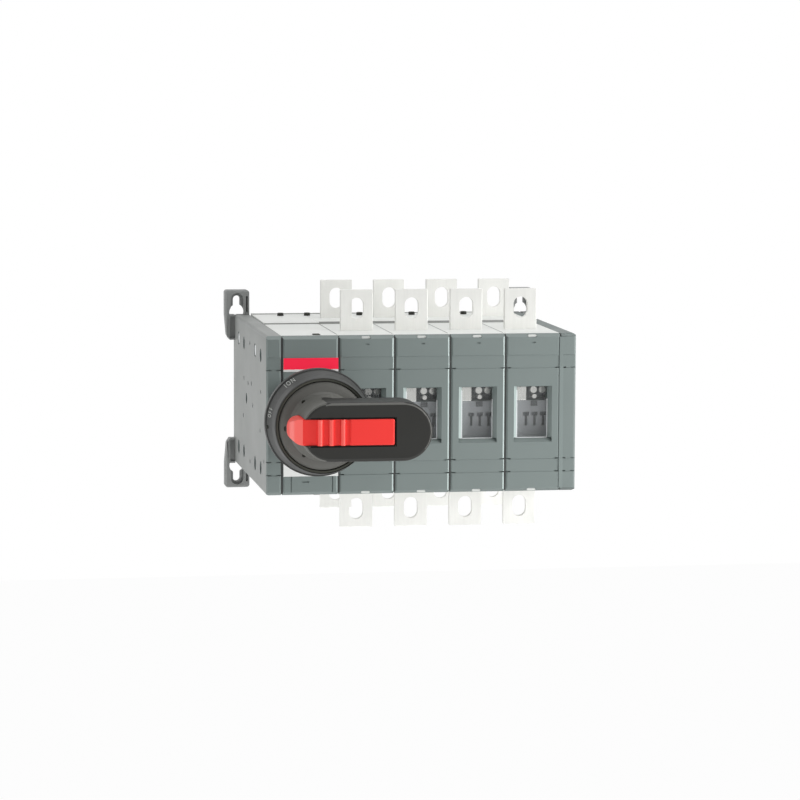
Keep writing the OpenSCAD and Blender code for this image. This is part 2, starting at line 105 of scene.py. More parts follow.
def colour(name, description, code):
    return bpy.props.FloatVectorProperty(
        name=name,
        description=description,
        subtype="COLOR",
        size=3,
        min=0.0,
        max=1.0,
        default=tone(code),
    )


def length(name, description, default):
    return bpy.props.FloatProperty(
        name=name, description=description, default=default, min=0.0, precision=5, unit="LENGTH"
    )


def power(name, description, default):
    return bpy.props.FloatProperty(
        name=name, description=description, default=default, min=0.0, unit="POWER"
    )


class SwitchColours(bpy.types.PropertyGroup):
    """Colours of the mouldings, metal and labels"""

    cover: colour("Front covers", "Grey plastic of the covers", "7F8987")
    # the end walls' sides are paler than their fronts partly by their own grey and partly by
    # painted light
    wall: colour("End walls", "Grey plastic of the end walls' sides", "929593")
    foot: colour("Feet", "Grey plastic of the feet", "8C8E8D")
    housing: colour("Pole housings", "Near-white plastic of the poles", "ECEEEB")
    tin: colour("Terminals", "Tin plating of the terminal bars", "EDEDE9")
    carrier: colour("Contact carriers", "Grey plastic behind the windows", "B2B4B8")
    dial: colour("Dial", "Dark plastic of the dial", "3E3F3E")
    hub: colour("Handle hub", "Dark plastic of the handle's round hub", "6A6A66")
    grip: colour("Handle grip", "Black plastic of the grip", "363634")
    slide: colour("Padlock slide", "Red plastic of the slide", "F9423E")
    # painted highlight: the paler red where light glints on the slide's tip and ridges
    slide_highlight: colour("Rubbed slide", "Paler red of the slide's rubbed tip and ridges", "FF675F")
    band: colour("Upper label", "Red film of the narrow label", "FF2A4A")
    plate: colour("Lower label", "White film of the wide label", "F4F5F3")
    pane: colour("Window panes", "Clear plastic of the panes", "DDE2E1")
    # painted highlight for the rims of the clear panes, and the pins' own plating
    lit: colour("Window edges", "Bright rims of the clear window frames, and the pins", "E2E6E6")
    steel: colour("Shaft", "Plated steel", "B4B5B3")
    # also painted shade for the deck catches, the hub's dark discs and the dial's gap ring, and
    # partly for the deck screws
    dark: colour("Screws and catches", "Dark plastic of the small fasteners", "33342F")
    mark: colour("Marks", "Printed white of the dial's words", "BEC0BC")


class SwitchSizes(bpy.types.PropertyGroup):
    """Sizes of the bevels and small details"""

    cover_bevel: length("Cover edges", "Rounding of the covers' edges", 0.0003)
    wall_bevel: length("Wall edges", "Rounding of the end walls' long outer edges", 0.0018)
    housing_bevel: length("Housing edges", "Rounding of the housings' edges", 0.0004)
    bar_bevel: length("Terminal edges", "Rounding of the terminal bars' edges", 0.0004)
    handle_bevel: length("Handle edges", "Rounding of the handle's edges", 0.0005)
    foot_bevel: length("Foot edges", "Rounding of the feet's edges", 0.0004)
    word_height: length("Word height", "Height of the words on the dial", 0.0068)
    pin_radius: length("Pin radius", "Radius of the pins in the end walls", 0.0034)


class SwitchStudio(bpy.types.PropertyGroup):
    """Lamps and camera"""

    key: power("Key lamp", "Power of the lamp at the right", 5.6)
    fill: power("Side lamp", "Power of the lamp at the left", 5.5)
    top: power("Top lamp", "Power of the lamp above", 5.6)
    low: power("Low lamp", "Power of the lamp in front and below", 1.5)
    around: bpy.props.FloatProperty(
        name="Surroundings", description="Light from all round", default=0.39, min=0.0
    )
    lens: bpy.props.FloatProperty(
        name="Lens", description="Focal length in millimetres", default=147.624
    )


def settings_of(context):
    return context.scene.switch_colours, context.scene.switch_sizes


# ---------------- helpers


def deselect():
    if bpy.context.object and bpy.context.object.mode != "OBJECT":
        bpy.ops.object.mode_set(mode="OBJECT")
    bpy.ops.object.select_all(action="DESELECT")


def activate(piece):
    deselect()
    piece.select_set(True)
    bpy.context.view_layer.objects.active = piece


def added(add, name, **settings):
    """Adds one object with an operator and names it."""
    deselect()
    add(**settings)
    made = bpy.context.object
    made.name = name
    return made


def edit(piece, mode):
    """Opens a piece in edit mode with nothing selected."""
    activate(piece)
    bpy.ops.object.mode_set(mode="EDIT")
    bpy.ops.mesh.select_mode(type=mode)
    bpy.ops.mesh.select_all(action="DESELECT")
    return bmesh.from_edit_mesh(piece.data)


def close_edit():
    bpy.ops.object.mode_set(mode="OBJECT")


def pick_faces(piece, test):
    """Opens a piece in edit mode and selects the faces whose middle and normal pass a test."""
    mesh = edit(piece, "FACE")
    for face in mesh.faces:
        face.select_set(test(face.calc_center_median(), face.normal))
    bmesh.update_edit_mesh(piece.data)


def pick_sharp_edges(piece, shortest, test=None):
    """Selects the sharp edges longer than a limit, where a test of the edge's middle allows it."""
    mesh = edit(piece, "EDGE")
    for edge in mesh.edges:
        if len(edge.link_faces) != 2 or edge.calc_length() < shortest:
            continue
        middle = (edge.verts[0].co + edge.verts[1].co) / 2
        if edge.calc_face_angle(0.0) > SHARP_ANGLE and (test is None or test(middle)):
            edge.select_set(True)
    bmesh.update_edit_mesh(piece.data)


def dressed(name):
    """A copy of a part's mesh, merged and with its flat triangles joined."""
    piece = bpy.data.objects.new(f"{name}_finish", PARTS[name].data.copy())
    bpy.context.scene.collection.objects.link(piece)
    piece.data.materials.clear()
    edit(piece, "VERT")
    bpy.ops.mesh.select_all(action="SELECT")
    bpy.ops.mesh.customdata_custom_splitnormals_clear()
    bpy.ops.mesh.remove_doubles(threshold=0.000002)
    bpy.ops.mesh.dissolve_limited(angle_limit=math.radians(0.4))
    close_edit()
    return piece


def round_edges(piece, width, shortest=0.0, segments=2, test=None):
    """Bevels the sharp edges that are long enough and pass a test."""
    pick_sharp_edges(piece, shortest, test)
    bpy.ops.mesh.bevel(
        offset=width, segments=segments, profile=0.5, affect="EDGES", clamp_overlap=False
    )
    close_edit()


def cut_level(piece, z):
    """Cuts the faces of a piece at a height, so that each side can have its own finish."""
    edit(piece, "FACE")
    bpy.ops.mesh.select_all(action="SELECT")
    bpy.ops.mesh.bisect(plane_co=(0, 0, z), plane_no=(0, 0, 1))
    close_edit()


def refinish(piece, finish, test):
    """Gives the faces that pass a test another of the piece's finishes."""
    for face in piece.data.polygons:
        if test(face.center, face.normal):
            face.material_index = finish


def place(piece):
    """Puts a piece's location, turn and size into its mesh."""
    activate(piece)
    bpy.ops.object.transform_apply(location=True, rotation=True, scale=True)


def smooth(piece, degrees, weighted):
    """Shades a piece smooth up to an angle; weighted normals keep its flats flat."""
    activate(piece)
    bpy.ops.object.shade_smooth_by_angle(angle=math.radians(degrees))
    if weighted:
        modifier = piece.modifiers.new("even_shading", "WEIGHTED_NORMAL")
        modifier.keep_sharp = True
        modifier.weight = 60
        bpy.ops.object.modifier_apply(modifier=modifier.name)


def hand_over(piece, finishes, replaces=(), body="base", degrees=32.0, weighted=True):
    """Smooths a piece up to an angle, gives it its finishes and joins it to its body.

    With no angle, the piece keeps its flat faces.
    """
    if degrees:
        smooth(piece, degrees, weighted)
    for finish in finishes:
        piece.data.materials.append(finish)
    place(piece)
    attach(piece, body)
    if replaces:
        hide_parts(*replaces)
    deselect()


def copy_at(piece, name, offset):
    """A copy with its own mesh, moved by an offset."""
    twin = bpy.data.objects.new(name, piece.data.copy())
    bpy.context.scene.collection.objects.link(twin)
    twin.data.transform(Matrix.Translation(offset))
    return twin


def bar(name, middle, size):
    """A bar of a given size round a middle, as the start of a piece."""
    piece = added(bpy.ops.mesh.primitive_cube_add, name, size=1.0, location=middle)
    piece.scale = size
    place(piece)
    return piece


def rounded_bar(name, middle, size, bevel, slot, finish, segments=2, body="base"):
    """A finished bar with rounded edges."""
    piece = bar(name, middle, size)
    round_edges(piece, bevel, segments=segments)
    hand_over(piece, [finish], body=body)


def cylinder(name, radius, height, sides, rotation):
    """A cylinder at the origin, as the start of a piece."""
    piece = added(
        bpy.ops.mesh.primitive_cylinder_add,
        name,
        vertices=sides,
        radius=radius,
        depth=height,
        rotation=rotation,
    )
    place(piece)
    return piece


def disc(name, radius, height):
    """A round button with a rounded face towards the front, at the origin."""
    piece = cylinder(name, radius, height, 32, FACES_FRONT)
    round_edges(piece, min(radius, height) * 0.25, segments=3)
    pick_faces(piece, lambda middle, normal: normal.y < -0.99)
    bpy.ops.mesh.inset(thickness=radius * 0.2, depth=0.0)
    close_edit()
    return piece


def torus(name, middle, radius, thickness, sides, tube_sides):
    """A ring that faces the front."""
    piece = added(
        bpy.ops.mesh.primitive_torus_add,
        name,
        major_radius=radius,
        minor_radius=thickness,
        major_segments=sides,
        minor_segments=tube_sides,
        location=middle,
        rotation=FACES_FRONT,
    )
    place(piece)
    return piece


# ---------------- finishes


def node(tree, kind, **settings):
    made = tree.nodes.new(kind)
    for key, value in settings.items():
        setattr(made, key, value)
    return made


def math_node(tree, operation, *values, clamp=False):
    made = node(tree, "ShaderNodeMath", operation=operation, use_clamp=clamp)
    for i, value in enumerate(values):
        if isinstance(value, (int, float)):
            made.inputs[i].default_value = value
        else:
            tree.links.new(value, made.inputs[i])
    return made.outputs[0]


def noise(tree, coordinates, scale, detail):
    texture = node(tree, "ShaderNodeTexNoise", normalize=True)
    texture.inputs["Detail"].default_value = detail
    tree.links.new(coordinates, texture.inputs["Vector"])
    if isinstance(scale, float):
        texture.inputs["Scale"].default_value = scale
    else:
        tree.links.new(scale, texture.inputs["Scale"])
    return texture.outputs["Fac"]


def shaded_colour(tree, source, pattern, middle, amount):
    """A colour made lighter and darker by a pattern that swings round its middle."""
    swing = math_node(tree, "SUBTRACT", pattern, middle)
    factor = math_node(tree, "ADD", math_node(tree, "MULTIPLY", swing, amount), 1.0)
    made = node(tree, "ShaderNodeVectorMath", operation="SCALE")
    tree.links.new(source, made.inputs[0])
    tree.links.new(factor, made.inputs["Scale"])
    return made.outputs[0]


def varied_roughness(tree, source, pattern, middle, amount):
    """A roughness that a pattern raises and lowers round its middle."""
    swing = math_node(tree, "SUBTRACT", pattern, middle)
    return math_node(tree, "ADD", math_node(tree, "MULTIPLY", swing, amount), source, clamp=True)


def shared_group(name, inputs, wire):
    """The node group of a name, which is built and wired once."""
    if name in bpy.data.node_groups:
        return bpy.data.node_groups[name]
    group = bpy.data.node_groups.new(name, "ShaderNodeTree")
    for kind, label, default in inputs:
        socket = group.interface.new_socket(
            name=label, in_out="INPUT", socket_type=f"NodeSocket{kind}"
        )
        socket.default_value = default
    for kind, label in (("Color", "Colour"), ("Float", "Roughness"), ("Float", "Height")):
        group.interface.new_socket(name=label, in_out="OUTPUT", socket_type=f"NodeSocket{kind}")
    given = group.nodes.new("NodeGroupInput").outputs
    out = group.nodes.new("NodeGroupOutput").inputs
    spots = node(group, "ShaderNodeTexCoord").outputs["Object"]
    for label, source in wire(group, given, spots).items():
        group.links.new(source, out[label])
    return group


def wire_moulding(group, given, spots):
    patches = noise(group, spots, given["Patch Scale"], 3.0)
    grain = noise(group, spots, given["Grain Scale"], 2.0)
    both = math_node(
        group,
        "ADD",
        math_node(group, "MULTIPLY", patches, 1.5),
        math_node(group, "MULTIPLY", grain, 0.5),
    )
    return {
        "Colour": shaded_colour(group, given["Colour"], both, 1.0, given["Mottling"]),
        "Roughness": varied_roughness(group, given["Roughness"], patches, 0.5, 0.25),
        "Height": math_node(group, "MULTIPLY", grain, given["Grain"]),
    }


def group_moulding():
    """Moulded plastic: soft mottling of the colour, and a fine matt grain."""
    inputs = [
        ("Color", "Colour", (0.5, 0.5, 0.5, 1.0)),
        ("Float", "Mottling", 0.05),
        ("Float", "Patch Scale", 45.0),
        ("Float", "Grain Scale", 1800.0),
        ("Float", "Grain", 0.3),
        ("Float", "Roughness", 0.5),
    ]
    return shared_group("Moulded plastic", inputs, wire_moulding)


def wire_brushing(group, given, spots):
    stretched = node(group, "ShaderNodeVectorMath", operation="MULTIPLY")
    group.links.new(spots, stretched.inputs[0])
    group.links.new(given["Stretch"], stretched.inputs[1])
    lines = noise(group, stretched.outputs[0], 1.0, 3.0)
    clouds = noise(group, spots, 90.0, 2.0)
    both = math_node(group, "ADD", lines, math_node(group, "MULTIPLY", clouds, 0.6))
    return {
        "Colour": shaded_colour(group, given["Colour"], both, 0.8, given["Streaks"]),
        "Roughness": varied_roughness(group, given["Roughness"], both, 0.8, 0.3),
        "Height": lines,
    }


def group_brushing():
    """Plated metal: fine lines along one direction over soft clouds."""
    inputs = [
        ("Color", "Colour", (0.8, 0.8, 0.8, 1.0)),
        ("Vector", "Stretch", (900.0, 900.0, 60.0)),
        ("Float", "Streaks", 0.08),
        ("Float", "Roughness", 0.35),
    ]
    return shared_group("Brushed plating", inputs, wire_brushing)


def wire_handling(group, given, spots):
    clouds = noise(group, spots, 120.0, 4.0)
    blend = node(group, "ShaderNodeMix", data_type="RGBA")
    wear_and_highlight = math_node(group, "MULTIPLY", clouds, given["Amount"], clamp=True)
    group.links.new(wear_and_highlight, blend.inputs["Factor"])
    group.links.new(given["Colour"], blend.inputs["A"])
    group.links.new(given["Rubbed Colour"], blend.inputs["B"])
    return {
        "Colour": blend.outputs["Result"],
        "Roughness": varied_roughness(group, given["Roughness"], clouds, 0.5, 0.25),
        "Height": noise(group, spots, 900.0, 2.0),
    }


def group_handling():
    """Faint scuffed streaks that lie across a printed or handled surface."""
    inputs = [
        ("Color", "Colour", (0.8, 0.8, 0.8, 1.0)),
        ("Color", "Rubbed Colour", (0.9, 0.9, 0.9, 1.0)),
        ("Float", "Amount", 0.1),
        ("Float", "Roughness", 0.3),
    ]
    return shared_group("Rubbed film", inputs, wire_handling)


def material_with(name, group, values, bump, bump_depth, **shader_values):
    """A material that feeds one shader from a shared group."""
    name = f"finish_{name}"
    if name in bpy.data.materials:
        return bpy.data.materials[name]
    material = bpy.data.materials.new(name)
    material.use_nodes = True
    tree = material.node_tree
    shader = tree.nodes["Principled BSDF"]
    surface = node(tree, "ShaderNodeGroup", node_tree=group)
    for key, value in values.items():
        surface.inputs[key].default_value = value
    tree.links.new(surface.outputs["Colour"], shader.inputs["Base Color"])
    tree.links.new(surface.outputs["Roughness"], shader.inputs["Roughness"])
    relief = node(tree, "ShaderNodeBump")
    relief.inputs["Strength"].default_value = bump
    relief.inputs["Distance"].default_value = bump_depth
    tree.links.new(surface.outputs["Height"], relief.inputs["Height"])
    tree.links.new(relief.outputs["Normal"], shader.inputs["Normal"])
    for key, value in shader_values.items():
        shader.inputs[key.replace("_", " ")].default_value = value
    return material


def plastic(name, colour_of, roughness=0.5, mottling=0.05, lighten=1.0, specular=0.3):
    """Moulded plastic of one colour, lightened or darkened by a factor."""
    rgb = [min(1.0, channel * lighten) for channel in colour_of] + [1.0]
    values = {"Colour": rgb, "Mottling": mottling, "Grain": 0.3, "Roughness": roughness}
    return material_with(
        name, group_moulding(), values, 0.35, GRAIN_DEPTH, Specular_IOR_Level=specular
    )


def metal(name, colour_of, stretch=(900.0, 900.0, 60.0), roughness=0.35, metallic=1.0):
    """Plated metal, with its fine lines along the direction of least stretch."""
    values = {"Colour": (*colour_of, 1.0), "Stretch": stretch, "Roughness": roughness}
    return material_with(name, group_brushing(), values, 0.2, BRUSH_DEPTH, Metallic=metallic)


def film(name, colour_of, wear_and_highlight, amount=0.15, roughness=0.3):
    """A printed film or a clear sheet, scuffed here and there."""
    values = {
        "Colour": (*colour_of, 1.0),
        "Rubbed Colour": (*wear_and_highlight, 1.0),
        "Amount": amount,
        "Roughness": roughness,
    }
    return material_with(name, group_handling(), values, 0.1, FILM_DEPTH, Specular_IOR_Level=0.2)


def glow_as_painted_light(material, colour_of, strength):
    """Adds a faint glow in a signal colour, painted light that brightens it beyond what the lamps
    give.
    """
    shader = material.node_tree.nodes["Principled BSDF"]
    shader.inputs["Emission Color"].default_value = (*colour_of, 1.0)
    shader.inputs["Emission Strength"].default_value = strength


def cover_moulding(colours):
    return plastic("cover_plastic", colours.cover)


def deck_shade(colours):
    return plastic("housing_step_shade", colours.housing, lighten=0.4)


# dark moulding of the dial's dot, also painted shade of the hub's small holes
def dot_moulding_and_hole_shade(colours):
    return plastic("dot_plastic_and_hole_shade", colours.dark, roughness=0.6, specular=0.1)


# ---------------- pieces


class SWITCH_OT_front_covers(bpy.types.Operator):
    """Rounds the edges of the front covers and gives them their grey moulding, with painted
    highlights on the joint chamfers and the window frames' left sides
    """

    bl_idname = "switch.front_covers"
    bl_label = "Front Covers"

    def execute(self, context):
        colours, sizes = settings_of(context)
        # the three paler copies of the grey are painted highlights
        finishes = [
            cover_moulding(colours),
            plastic("cover_chamfer_highlight", colours.cover, roughness=0.4, lighten=1.4),
            plastic("cover_joint_highlight", colours.cover, roughness=0.4, lighten=2.4),
            plastic("cover_frame_highlight", colours.cover, roughness=0.4, lighten=2.0),
        ]
        edge, joint, lit = 1, 2, 3
        shortest, chamfer_width = 0.0035, 0.0014
        # the window's edges stay sharp; its frame reaches a little further
        half_window, window_low, window_high = 0.0128, -0.0195, 0.0180
        half_frame, frame_high = 0.014, 0.019
        for name in ["mechanism_cover"] + POLE_COVERS:
            is_pole = name != "mechanism_cover"
            piece = dressed(name)
            low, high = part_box(name)
            middle_x = (low.x + high.x) / 2

            def off_window(spot):
                within = abs(spot.x - middle_x) < half_window
                return not (is_pole and within and window_low < spot.z < window_high)

            def chamfer(spot, normal):
                return spot.x > high.x - chamfer_width and normal.x > 0.3 and normal.y < -0.3

            def frame_left(spot, normal):
                within = abs(spot.z) < frame_high and middle_x - half_frame < spot.x < middle_x
                return within and normal.x > 0.5

            round_edges(piece, sizes.cover_bevel, shortest, test=off_window)
            if name != "front_cover_4":
                # the chamfer beside the next cover gets a painted highlight
                refinish(piece, joint if is_pole else edge, chamfer)
            if is_pole:
                # the window frame's left side gets a painted highlight
                refinish(piece, lit, frame_left)
            hand_over(piece, finishes, [name])
        return {"FINISHED"}


class SWITCH_OT_end_walls(bpy.types.Operator):
    """Rounds the end walls, with the covers' grey across their front faces; the sides' paler grey
    is partly the walls' own colour and partly painted light, and the right wall's top and bottom
    get painted shade
    """

    bl_idname = "switch.end_walls"
    bl_label = "End Walls"

    def execute(self, context):
        colours, sizes = settings_of(context)
        finishes = [
            plastic("end_wall_plastic", colours.wall),
            cover_moulding(colours),
            plastic("end_wall_top_shade", colours.cover, lighten=0.72),
        ]
        front, shaded = 1, 2
        # what the long edges' rounding takes up, in height and in width
        used_z, used_x = 0.002, 0.003
        for name in ("left_end_wall", "right_end_wall"):
            piece = dressed(name)
            outer = max(abs(corner.x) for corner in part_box(name))
            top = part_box(name)[1].z

            def long_edge(spot):
                return abs(spot.x) > outer - TOUCH and abs(spot.z) > top - TOUCH

            def other_edge(spot):
                return abs(spot.z) < top - used_z or abs(spot.x) < outer - used_x

            round_edges(piece, sizes.wall_bevel, shortest=0.03, segments=5, test=long_edge)
            round_edges(piece, sizes.cover_bevel, shortest=0.0035, test=other_edge)
            refinish(piece, front, lambda spot, normal: normal.y < -0.3)
            # painted shade on the right wall's top and bottom faces
            if name == "right_end_wall":
                refinish(piece, shaded, lambda spot, normal: abs(normal.z) > 0.5)
            hand_over(piece, finishes, [name])
        return {"FINISHED"}


class SWITCH_OT_wall_pins(bpy.types.Operator):
    """Adds the pins that end just below the end walls' outer faces"""

    bl_idname = "switch.wall_pins"
    bl_label = "End Wall Pins"

    def execute(self, context):
        colours, sizes = settings_of(context)
        finish = metal("plated_pin", colours.lit, stretch=(60.0, 900.0, 900.0), metallic=0.3)
        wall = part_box("left_end_wall")[0].x
        bar_depth, first_depth, height = 0.0365, 0.0576, 0.036
        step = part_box("rear_terminals_1")[0].y - (FRONT_Y + bar_depth)
        radius, pin_length, sunk, sides = sizes.pin_radius, 0.0034, 0.0019, 48
        master = cylinder("wall_pin", radius, pin_length, sides, (0, math.pi / 2, 0))
        pick_faces(master, lambda middle, normal: abs(normal.x) > 0.9)
        bpy.ops.mesh.inset(thickness=radius * 0.35)
        bpy.ops.mesh.inset(thickness=radius * 0.15, depth=-0.0004)
        close_edit()
        round_edges(master, 0.0002)
        for side, name in ((-1, "left"), (1, "right")):
            for row, depth in enumerate((first_depth, first_depth + step), start=1):
                spot = Vector((side * (-wall - sunk), FRONT_Y + depth, height))
                piece = copy_at(master, f"{name}_wall_pin_{row}", spot)
                hand_over(piece, [finish], weighted=False)
        bpy.data.objects.remove(master)
        return {"FINISHED"}


class SWITCH_OT_feet(bpy.types.Operator):
    """Rounds the four mounting feet and gives them their grey moulding"""

    bl_idname = "switch.feet"
    bl_label = "Mounting Feet"

    def execute(self, context):
        colours, sizes = settings_of(context)
        finish = plastic("foot_plastic", colours.foot)
        tip_rim, side_rim = 0.0015, 0.0012
        for name in ("foot_upper_left", "foot_lower_left", "foot_upper_right", "foot_lower_right"):
            piece = dressed(name)
            low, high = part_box(name)
            tip = max(abs(low.z), abs(high.z))
            outer = max(abs(low.x), abs(high.x))

            def rim(spot):
                return abs(spot.z) > tip - tip_rim or abs(spot.x) > outer - side_rim

            round_edges(piece, sizes.foot_bevel, shortest=0.003, test=rim)
            hand_over(piece, [finish], [name])
        return {"FINISHED"}


class SWITCH_OT_housings(bpy.types.Operator):
    """Rounds the pole housings and the mechanism housing"""

    bl_idname = "switch.housings"
    bl_label = "Pole Housings"

    def execute(self, context):
        colours, sizes = settings_of(context)
        finishes = [
            plastic("housing_plastic", colours.housing, mottling=0.03),
            deck_shade(colours),
        ]
        shaded = 1
        edge_height, step_height, step_y = 0.045, 0.0493, FRONT_Y + 0.05
        poles = [f"{row}_pole_{n}" for row in ("front", "rear") for n in POLES]

        def outer_edge(spot):
            return abs(spot.z) > edge_height

        def deck_step(spot, normal):
            return normal.y < -0.8 and abs(spot.z) > step_height and spot.y > step_y

        for name in ["mechanism_housing"] + poles:
            piece = dressed(name)
            round_edges(piece, sizes.housing_bevel, shortest=0.008, test=outer_edge)
            # painted shade on the small step between the two switches
            refinish(piece, shaded, deck_step)
            hand_over(piece, finishes, [name])
        return {"FINISHED"}


class SWITCH_OT_terminals(bpy.types.Operator):
    """Rounds the terminal bars and gives them their tin plating, with painted shade on the
    contacts' front faces
    """

    bl_idname = "switch.terminals"
    bl_label = "Terminals"

    def execute(self, context):
        colours, sizes = settings_of(context)
        tin_in_shade = [0.68 * channel for channel in colours.tin]
        finishes = [
            metal("tinned_copper", colours.tin, roughness=0.4, metallic=0.35),
            metal("contact_shade", tin_in_shade, roughness=0.3),
        ]
        contact, contact_y = 1, FRONT_Y + 0.03
        for name in [f"{row}_terminals_{n}" for row in ("front", "rear") for n in POLES]:
            piece = dressed(name)
            round_edges(piece, sizes.bar_bevel, shortest=0.0025)
            # painted shade on the front faces of the contacts seen in the windows
            refinish(piece, contact, lambda spot, normal: spot.y < contact_y and normal.y < -0.5)
            hand_over(piece, finishes, [name])
        return {"FINISHED"}


class SWITCH_OT_carriers(bpy.types.Operator):
    """Rounds the contact carriers behind the windows, with painted shade round their slots"""

    bl_idname = "switch.carriers"
    bl_label = "Contact Carriers"

    def execute(self, context):
        colours, sizes = settings_of(context)
        finishes = [
            plastic("carrier_plastic", colours.carrier),
            plastic("carrier_slot_shade", colours.carrier, lighten=0.7),
        ]
        shaded, slot_y, slot_height = 1, FRONT_Y + 0.0133, 0.0095

        def slots(spot, normal):
            return spot.y > slot_y and abs(spot.z) < slot_height

        for n in POLES:
            piece = dressed(f"contact_carrier_{n}")
            round_edges(piece, sizes.cover_bevel, shortest=0.02)
            # painted shade on the faces set back round the slots
            refinish(piece, shaded, slots)
            hand_over(piece, finishes, [f"contact_carrier_{n}"])
        return {"FINISHED"}


class SWITCH_OT_windows(bpy.types.Operator):
    """Gives the panes their clear plastic"""

    bl_idname = "switch.windows"
    bl_label = "Windows"

    def execute(self, context):
        colours = context.scene.switch_colours
        finish = film("clear_pane", colours.pane, colours.pane, roughness=0.08)
        finish.node_tree.nodes["Principled BSDF"].inputs["Alpha"].default_value = 0.06
        for n in POLES:
            pane = PARTS[f"window_{n}"]
            pane.data.materials.clear()
            pane.data.materials.append(finish)
        return {"FINISHED"}


class SWITCH_OT_labels(bpy.types.Operator):
    """Gives the two plain labels their films"""

    bl_idname = "switch.labels"
    bl_label = "Labels"

    def execute(self, context):
        colours = context.scene.switch_colours
        band = film("red_band", colours.band, tone("FB5468"), amount=0.12, roughness=0.4)
        # the red film's faint glow is painted light
        glow_as_painted_light(band, colours.band, 0.22)
        plate = film("white_plate", colours.plate, tone("E6E8E6"), amount=0.3, roughness=0.4)
        film_bevel, shortest, strip_height, margin = 0.00015, 0.005, 0.0014, 0.001
        # a narrow white strip runs below the red
        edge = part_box("label_band")[0].z + strip_height
        piece = dressed("label_band")
        cut_level(piece, edge)
        refinish(piece, 1, lambda spot, normal: spot.z < edge)
        round_edges(piece, film_bevel, shortest, test=lambda spot: spot.z > edge + margin)
        hand_over(piece, [band, plate], ["label_band"])
        piece = dressed("rating_plate")
        round_edges(piece, film_bevel, shortest)
        hand_over(piece, [plate], ["rating_plate"])
        return {"FINISHED"}


class SWITCH_OT_dial(bpy.types.Operator):
    """Smooths the dial and gives it its dark moulding"""

    bl_idname = "switch.dial"
    bl_label = "Dial"

    def execute(self, context):
        colours = context.scene.switch_colours
        finish = plastic("dial_plastic", colours.dial, roughness=0.42, specular=0.2)
        piece = dressed("dial")
        hand_over(piece, [finish], ["dial"], degrees=28.0)
        return {"FINISHED"}


def dial_spot(angle, radius, front):
    """Point on the dial at an angle from the right, seen from the front."""
    return Vector((PIVOT_X + radius * math.cos(angle), FRONT_Y - front, radius * math.sin(angle)))


class SWITCH_OT_dial_words(bpy.types.Operator):
    """Prints the words for two of the positions on the dial's sloping side"""

    bl_idname = "switch.dial_words"
    bl_label = "Dial Words"

    def execute(self, context):
        colours, sizes = settings_of(context)
        finish = film("printed_white", colours.mark, tone("B8BAB6"), amount=0.3, roughness=0.5)
        # width and thickness of a letter's block, and a capital's share of its height
        wide, thick, capital = 0.0033, 0.006, 0.72
        # share of the full height, then each letter with its place round the dial in degrees
        words = {
            "i_on": (1.0, (("I", 132.5), ("O", 127.9), ("N", 121.8))),
            "off": (0.75, (("O", 170.6), ("F", 166.6), ("F", 162.8))),
        }
        for word, (share, letters) in words.items():
            size = (wide * share, sizes.word_height / capital * share, thick)
            made = [self.letter(letter, math.radians(turn), size) for letter, turn in letters]
            deselect()
            for letter in made:
                letter.select_set(True)
            bpy.context.view_layer.objects.active = made[0]
            bpy.ops.object.transform_apply(location=True, rotation=True, scale=True)
            bpy.ops.object.join()
            piece = bpy.context.object
            piece.name = f"dial_word_{word}"
            hand_over(piece, [finish], degrees=None)
        return {"FINISHED"}

    def letter(self, letter, angle, size):
        """One raised letter that lies on the slope and reads from outside."""
        # the scale slopes back to the flange: radius and height above the covers of each edge
        inner, outer = (0.030, 0.045), (0.032, 0.0373)
        lift = 0.00006
        slope = math.atan2(outer[0] - inner[0], inner[1] - outer[1])
        outward = Vector((math.cos(angle), 0, math.sin(angle)))
        backward = Vector((0, 1, 0))
        up = backward * math.cos(slope) + outward * math.sin(slope)
        normal = outward * math.cos(slope) - backward * math.sin(slope)
        turn = Matrix((up.cross(normal), up, normal)).transposed()
        radius = (inner[0] + outer[0]) / 2 + lift
        spot = dial_spot(angle, radius, (inner[1] + outer[1]) / 2)
        name = f"letter_{letter.lower()}"
        text = added(bpy.ops.object.text_add, name, location=spot, rotation=turn.to_euler())
        text.data.body = letter
        text.data.align_x = "CENTER"
        text.data.align_y = "CENTER"
        text.data.size = 1.0
        text.data.extrude = 0.01
        text.scale = size
        bpy.ops.object.convert(target="MESH")
        return bpy.context.object


class SWITCH_OT_dial_details(bpy.types.Operator):
    """Adds a dark ring of painted shade in the gap between dial and hub, and the dot beside the
    words
    """

    bl_idname = "switch.dial_details"
    bl_label = "Dial Seal and Dot"

    def execute(self, context):
        colours = context.scene.switch_colours
        gap_shade = plastic("dial_gap_shade", colours.dark, lighten=2.6, roughness=0.6, specular=0.2)
        # the dark ring stands in for the shade of the groove round the hub
        radius, thickness, middle = 0.0279, 0.00075, (PIVOT_X, FRONT_Y - 0.055, 0)
        gap_ring = torus("dial_gap_shade_ring", middle, radius, thickness, 128, 12)
        # the lip's front is pressed flat
        lip_front, pressed_to = FRONT_Y - 0.0553, (PIVOT_X, FRONT_Y - 0.0552, 0)
        pick_faces(gap_ring, lambda spot, normal: spot.y < lip_front)
        bpy.ops.transform.resize(value=(1, 0.5, 1), center_override=pressed_to)
        close_edit()
        hand_over(gap_ring, [gap_shade], weighted=False)
        dot = disc("dial_dot", 0.0012, 0.0010)
        # the scale goes out by the first length over the second
        slope = math.atan2(0.002, 0.0077)
        dot.rotation_euler = (0, 0, slope - math.pi / 2)
        dot.location = dial_spot(math.radians(183.6), radius=0.0317, front=0.0386)
        place(dot)
        hand_over(dot, [dot_moulding_and_hole_shade(colours)], weighted=False)
        return {"FINISHED"}


